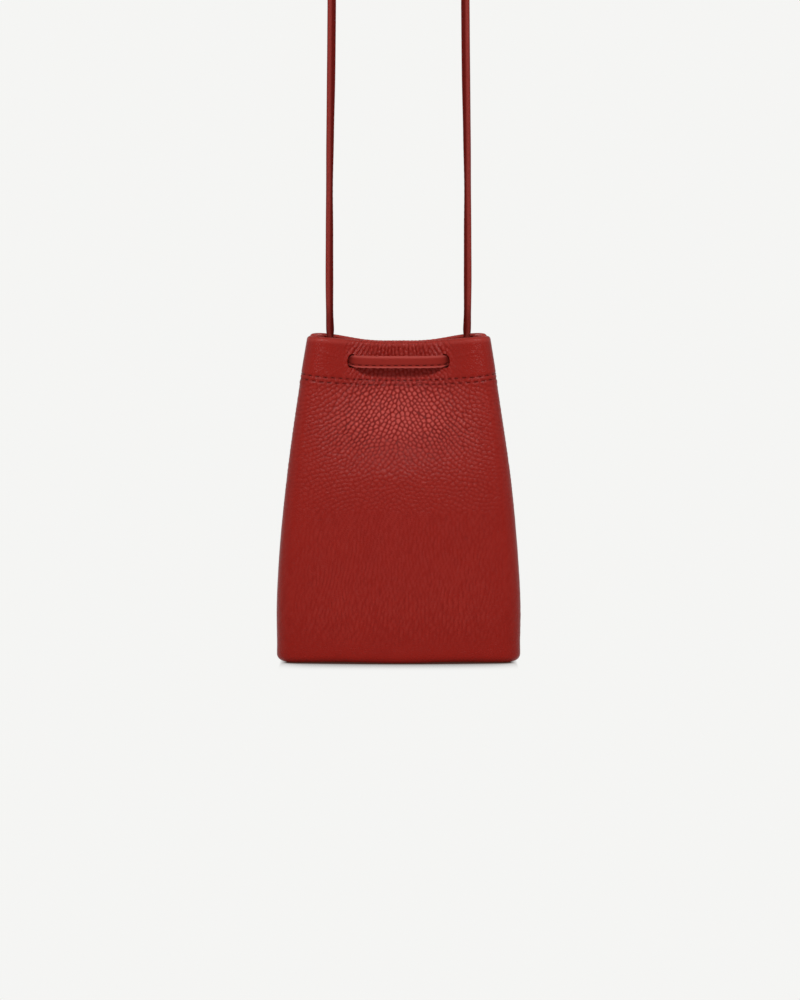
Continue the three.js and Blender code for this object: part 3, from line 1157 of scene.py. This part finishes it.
        # Painted highlight along the folded edge and on the lip.
        highlighted = self.fold_highlight * ramp(across[0], self.fold_highlight_band) + ramp(-across[0], self.lip_highlight_band)
        highlighted = np.append(highlighted, highlighted[0])[None, :]
        height = self.at[:, 2:]
        # Painted shade: the upright strands are darker, more so at their feet by the mouth, and so is the
        # strap where the slits press it.
        shade = self.strand_shade + self.foot_shade * (1 - ramp(height, self.foot_band))
        shaded = self.press_shade * (1 - press) + shade * (height > self.strand_start)
        round_it = (np.arange(highlighted.size) / (highlighted.size - 1) * 2 * self.width)[None, :]
        bm = bmesh.new()
        add_skin(
            bm,
            points,
            wear_and_painted_light=np.stack(np.broadcast_arrays(shaded, highlighted), -1),
            flat=np.stack(np.broadcast_arrays(run, round_it), -1),
        )
        bmesh.ops.remove_doubles(bm, verts=bm.verts, dist=self.weld)
        bmesh.ops.recalc_face_normals(bm, faces=bm.faces)
        piece = finish_mesh(bm, self.node + "_leather", [leather], self.side)
        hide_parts(self.node)
        stitches = self.stitch(thread)
        return piece

    def stitch(self, thread: Material) -> Piece:
        """Sews the row along the strap's edge, seen on both of its faces.

        Args:
            thread: the stitches' finish.

        Returns:
            The stitches.
        """
        bm = bmesh.new()
        clear = 0.02
        steps = round(self.stitch_pitch / self.step)
        for i in range(steps // 2, len(self.run) - 1, steps):
            rise = self.half_thickness(np.array(self.sewn_line), self.run[i]) + clear
            for face in (-1, 1):
                at = self.at[i] + self.sewn_line * self.across[i] + face * rise * self.inward[i]
                self.edge_thread.sew(bm, Vector(at), Vector(self.along[i]), Vector(face * self.inward[i]))
        piece = finish_mesh(bm, self.node + "_stitches", [thread], self.side)
        return piece


# Finishes


class Nodes:
    """A node tree, with short calls to add and join nodes."""

    def __init__(self, tree: bpy.types.NodeTree) -> None:
        """Takes the tree that the nodes go in."""
        self.tree = tree

    def add(self, kind: str, **settings: object) -> bpy.types.Node:
        """Adds a node, with settings for its properties and its input sockets by name.

        Args:
            kind: the node's type.
            settings: properties in lower case, and sockets with their names' spaces as underscores.

        Returns:
            The node.
        """
        node = self.tree.nodes.new(kind)
        for name, value in settings.items():
            if hasattr(node, name):
                setattr(node, name, value)
            else:
                node.inputs[name.replace("_", " ")].default_value = value
        return node

    def join(self, source: Socket, target: Socket) -> None:
        """Links two sockets."""
        self.tree.links.new(source, target)

    def combine(self, kind: str, *sources: Socket, **settings: object) -> Socket:
        """Adds a node that makes one output of several inputs.

        Args:
            kind: the node's type.
            sources: what goes into its first sockets, in order.
            settings: as for add.

        Returns:
            The node's first output.
        """
        node = self.add(kind, **settings)
        for source, target in zip(sources, node.inputs):
            self.join(source, target)
        return node.outputs[0]

    def backdrop_rays(self) -> Socket:
        """Is 1 for rays that show the backdrop: those of the camera, of gloss and through glass.

        Returns:
            The socket that says so.
        """
        path = self.add("ShaderNodeLightPath")
        total = path.outputs["Is Camera Ray"]
        for name in ("Is Glossy Ray", "Is Transmission Ray"):
            total = self.combine("ShaderNodeMath", total, path.outputs[name], operation="MAXIMUM")
        return total


class MaterialNodes(Nodes):
    """The nodes of a new material, round its shader."""

    def __init__(self, name: str, roughness: float, specular: float) -> None:
        """Starts the material.

        Args:
            name: the material's name.
            roughness: how dull its gloss is.
            specular: how strong its gloss is.
        """
        self.material = bpy.data.materials.new(name)
        self.material.use_nodes = True
        super().__init__(self.material.node_tree)
        self.shader = self.tree.nodes["Principled BSDF"]
        self.shader.inputs["Roughness"].default_value = roughness
        self.shader.inputs["Specular IOR Level"].default_value = specular
        self.place = self.add("ShaderNodeTexCoord").outputs["Object"]

    def texture(self, kind: str, **settings: object) -> bpy.types.Node:
        """Adds a texture that keeps its place on the piece.

        Args:
            kind: the node's type.
            settings: as for add.

        Returns:
            The texture.
        """
        node = self.add(kind, **settings)
        self.join(self.place, node.inputs["Vector"])
        return node

    def mix(self, share: Socket, low: Colour | Socket, high: Colour | Socket) -> Socket:
        """Mixes two colours by a share.

        Args:
            share: 0 for the first colour to 1 for the second.
            low: the first colour.
            high: the second colour.

        Returns:
            The mixed colour.
        """
        node = self.add("ShaderNodeMix", data_type="RGBA")
        self.join(share, node.inputs[0])
        for socket, value in ((node.inputs[6], low), (node.inputs[7], high)):
            if isinstance(value, Socket):
                self.join(value, socket)
            else:
                socket.default_value = (*value, 1)
        return node.outputs[2]

    def dress(self, colour: Socket, height: Socket, depth: float) -> Material:
        """Gives the shader its colour and a fine relief.

        Args:
            colour: the colour.
            height: the relief, from 0 to 1.
            depth: the relief's depth in metres.

        Returns:
            The finished material.
        """
        self.join(colour, self.shader.inputs["Base Color"])
        bump = self.add("ShaderNodeBump", Distance=depth)
        self.join(height, bump.inputs["Height"])
        self.join(bump.outputs["Normal"], self.shader.inputs["Normal"])
        return self.material


@dataclass(frozen=True)
class GrainLeather:
    """Dyed leather with a fine grain, with painted shade in its creases and a painted highlight, partly
    rubbing, on its raised parts.
    """

    name: str
    colour: Colour
    dark: Colour
    painted_shade: Colour
    wear_and_highlight: Colour
    roughness: float
    specular: float
    grain_size: float
    grain_depth: float
    cloud_scale: float = 55.0
    grain_edge: float = 0.25

    def make(self) -> Material:
        """Makes the material.

        Returns:
            The material.
        """
        nodes = MaterialNodes(self.name, self.roughness, self.specular)
        cloudy = nodes.texture("ShaderNodeTexNoise", Scale=self.cloud_scale, Detail=4.0, Roughness=0.6)
        colour = nodes.mix(cloudy.outputs["Fac"], self.dark, self.colour)
        # Mixes in the painted highlight (partly rubbing) and then the painted shade, both read from the
        # piece's vertices.
        for attribute, tint in (("wear_and_highlight", self.wear_and_highlight), ("painted_shade", self.painted_shade)):
            share = nodes.add("ShaderNodeAttribute", attribute_name=attribute)
            colour = nodes.mix(share.outputs["Fac"], colour, tint)
        cells = nodes.texture("ShaderNodeTexVoronoi", feature="DISTANCE_TO_EDGE", Scale=1 / self.grain_size)
        grain = nodes.add("ShaderNodeMapRange", From_Max=self.grain_edge, interpolation_type="SMOOTHSTEP")
        nodes.join(cells.outputs["Distance"], grain.inputs["Value"])
        return nodes.dress(colour, grain.outputs["Result"], self.grain_depth)


class Pattern(Enum):
    """Fine patterns, each a texture node's type and settings."""

    NAP = ("ShaderNodeTexNoise", {"Detail": 5.0, "Roughness": 0.7})
    TWIST = ("ShaderNodeTexWave", {"bands_direction": "DIAGONAL"})


@dataclass(frozen=True)
class PlainFinish:
    """A dull finish with one fine pattern in its colour and its relief."""

    name: str
    colour: Colour
    dark: Colour
    pattern: Pattern
    size: float
    depth: float
    roughness: float
    specular: float

    def make(self) -> Material:
        """Makes the material.

        Returns:
            The material.
        """
        nodes = MaterialNodes(self.name, self.roughness, self.specular)
        kind, settings = self.pattern.value
        share = nodes.texture(kind, Scale=1 / self.size, **settings).outputs["Fac"]
        return nodes.dress(nodes.mix(share, self.dark, self.colour), share, self.depth)


# In each leather, the darkest colour is painted shade and the palest painted highlight.
BODY_GRAIN = GrainLeather(
    name="red_pebbled_leather",
    colour=(0.262, 0.008, 0.003),
    dark=(0.226, 0.005, 0.0015),
    painted_shade=(0.105, 0.002, 0.001),
    wear_and_highlight=(0.47, 0.066, 0.053),
    roughness=0.38,
    specular=0.15,
    grain_size=0.0012,
    grain_depth=0.00006,
)
RIM_GRAIN = replace(BODY_GRAIN, name="red_turned_rim", colour=(0.27, 0.022, 0.016), specular=0.04)
STRAP_GRAIN = GrainLeather(
    name="red_smooth_leather",
    colour=(0.268, 0.025, 0.019),
    dark=(0.238, 0.02, 0.015),
    painted_shade=(0.07, 0.003, 0.002),
    wear_and_highlight=(0.43, 0.072, 0.06),
    roughness=0.45,
    specular=0.0,
    grain_size=0.0008,
    grain_depth=0.00003,
)
FLESH = PlainFinish(
    name="red_leather_flesh_side",
    colour=(0.20, 0.022, 0.016),
    dark=(0.13, 0.012, 0.009),
    pattern=Pattern.NAP,
    size=0.0012,
    depth=0.0003,
    roughness=0.95,
    specular=0.1,
)
THREAD = PlainFinish(
    name="dark_red_thread",
    colour=(0.09, 0.004, 0.003),
    dark=(0.06, 0.003, 0.002),
    pattern=Pattern.TWIST,
    size=0.0007,
    depth=0.0001,
    roughness=0.6,
    specular=0.05,
)


# Studio


@dataclass(frozen=True)
class SoftBox:
    """A soft lamp, in metres and watts."""

    name: str
    at: Point
    size: Band
    power: float
    target: Point = (0, 0, 0.1)

    def hang(self) -> None:
        """Hangs the lamp, facing its target."""
        lamp = bpy.data.lights.new(self.name, "AREA")
        lamp.shape = "RECTANGLE"
        lamp.size, lamp.size_y = self.size
        lamp.energy = self.power
        holder = bpy.data.objects.new(self.name, lamp)
        holder.location = self.at
        way = Vector(self.target) - Vector(self.at)
        holder.rotation_euler = way.to_track_quat("-Z", "Y").to_euler()
        bpy.context.scene.collection.objects.link(holder)


LEFT_BOX = SoftBox("side_box", at=(-1.3, -0.5, 0.5), size=(0.8, 0.8), power=2.2)
SOFT_BOXES = (
    SoftBox("key_box", at=(0, -1.245, 1.073), size=(0.7, 0.25), power=15.8),
    LEFT_BOX,
    replace(LEFT_BOX, at=(1.3, -0.5, 0.5)),
)


@dataclass(frozen=True)
class Studio:
    """Pale floor, soft light and camera, in metres."""

    background: Colour = (0.913, 0.913, 0.899)
    ambient: float = 0.23
    floor_colour: Colour = (0.8, 0.8, 0.79)
    floor_size: float = 6.0
    floor_drop: float = 0.0004
    shadow_colour: Colour = (0.05, 0.015, 0.01)
    shadow_reach: float = 0.024
    shadow_full: float = 0.14
    shadow_way: Point = (0.0, 0.6, 0.8)
    shadow_half: float = 0.066
    shadow_fade: float = 0.004
    elevation: float = math.radians(7)
    distance: float = 2.0
    aim: Point = (0.0008, 0.0, 0.0875)
    view_width: float = 0.4465
    sensor: float = 36.0

    def light_world(self) -> None:
        """Even light from all round, with the pale backdrop in view."""
        world = bpy.data.worlds.new("studio")
        bpy.context.scene.world = world
        world.use_nodes = True
        nodes = Nodes(world.node_tree)
        glow = world.node_tree.nodes["Background"]
        glow.inputs["Color"].default_value = (1, 1, 1, 1)
        glow.inputs["Strength"].default_value = self.ambient
        shown = nodes.add("ShaderNodeBackground", Color=(*self.background, 1)).outputs[0]
        mixed = nodes.combine("ShaderNodeMixShader", nodes.backdrop_rays(), glow.outputs[0], shown)
        nodes.join(mixed, world.node_tree.nodes["World Output"].inputs["Surface"])

    def floor_finish(self) -> Material:
        """Makes the floor's finish: the backdrop's colour, with the pouch's soft contact shadow.

        Returns:
            The material.
        """
        nodes = MaterialNodes("studio_floor", roughness=1.0, specular=0.0)
        nodes.shader.inputs["Base Color"].default_value = (*self.floor_colour, 1)
        nearby = nodes.add("ShaderNodeAmbientOcclusion", samples=16, Distance=self.shadow_reach)
        nearby.inputs["Normal"].default_value = self.shadow_way
        shade = nodes.combine(
            "ShaderNodeMapRange",
            nearby.outputs["AO"],
            From_Min=self.shadow_full,
            From_Max=1.0,
            interpolation_type="SMOOTHSTEP",
        )
        across = nodes.combine("ShaderNodeSeparateXYZ", nodes.place)
        out = nodes.combine("ShaderNodeMath", across, operation="ABSOLUTE")
        inner = self.shadow_half - self.shadow_fade
        beside = nodes.combine("ShaderNodeMapRange", out, From_Min=inner, From_Max=self.shadow_half)
        lit = nodes.combine("ShaderNodeMath", shade, beside, operation="MAXIMUM")
        shown = nodes.combine("ShaderNodeEmission", nodes.mix(lit, self.shadow_colour, self.background))
        rays = nodes.backdrop_rays()
        mixed = nodes.combine("ShaderNodeMixShader", rays, nodes.shader.outputs[0], shown)
        nodes.join(mixed, nodes.tree.nodes["Material Output"].inputs["Surface"])
        return nodes.material

    def lay_floor(self) -> Piece:
        """Lays the floor.

        Returns:
            The floor.
        """
        bm = bmesh.new()
        bmesh.ops.create_grid(bm, x_segments=8, y_segments=8, size=self.floor_size / 2)
        bmesh.ops.translate(bm, vec=Vector((0, 0, -self.floor_drop)), verts=bm.verts)
        floor = add_object(bm, "studio_floor", [self.floor_finish()])
        return floor

    def set_camera(self) -> None:
        """Sets the camera level with the photograph's view: a long lens, slightly above the pouch."""
        away = Vector((0, -math.cos(self.elevation), math.sin(self.elevation)))
        lens = bpy.data.cameras.new("view")
        lens.sensor_fit = "HORIZONTAL"
        lens.sensor_width = self.sensor
        lens.lens = self.sensor * self.distance / self.view_width
        camera = bpy.data.objects.new("view", lens)
        camera.location = Vector(self.aim) + away * self.distance
        camera.rotation_euler = (-away).to_track_quat("-Z", "Y").to_euler()
        bpy.context.scene.collection.objects.link(camera)
        bpy.context.scene.camera = camera

    def build(self) -> None:
        """Sets up the whole studio."""
        self.set_camera()
        self.light_world()
        self.lay_floor()
        for box in SOFT_BOXES:
            box.hang()
        bpy.context.scene.view_settings.view_transform = "Standard"


def main() -> None:
    """Builds the pouch, its straps and the studio."""
    logging.basicConfig(level=logging.INFO, format="%(name)s %(message)s")
    Studio().build()
    grain, smooth, rim = BODY_GRAIN.make(), STRAP_GRAIN.make(), RIM_GRAIN.make()
    flesh, thread = FLESH.make(), THREAD.make()
    for side in Side:
        Strap(side).build(smooth, thread)
    form = PouchForm()
    for panel in (
        Panel(form, Side.FRONT, LeatherRelief(form, seed=11), mouth_draw=0.0, rim_highlight=0.3),
        Panel(form, Side.BACK, LeatherRelief(form, seed=47), mouth_draw=0.028, rim_highlight=0.7),
    ):
        panel.build(grain, flesh, rim)
        panel.stitch(thread)
    BasePanel(form).build(grain)


if __name__ == "__main__":
    main()
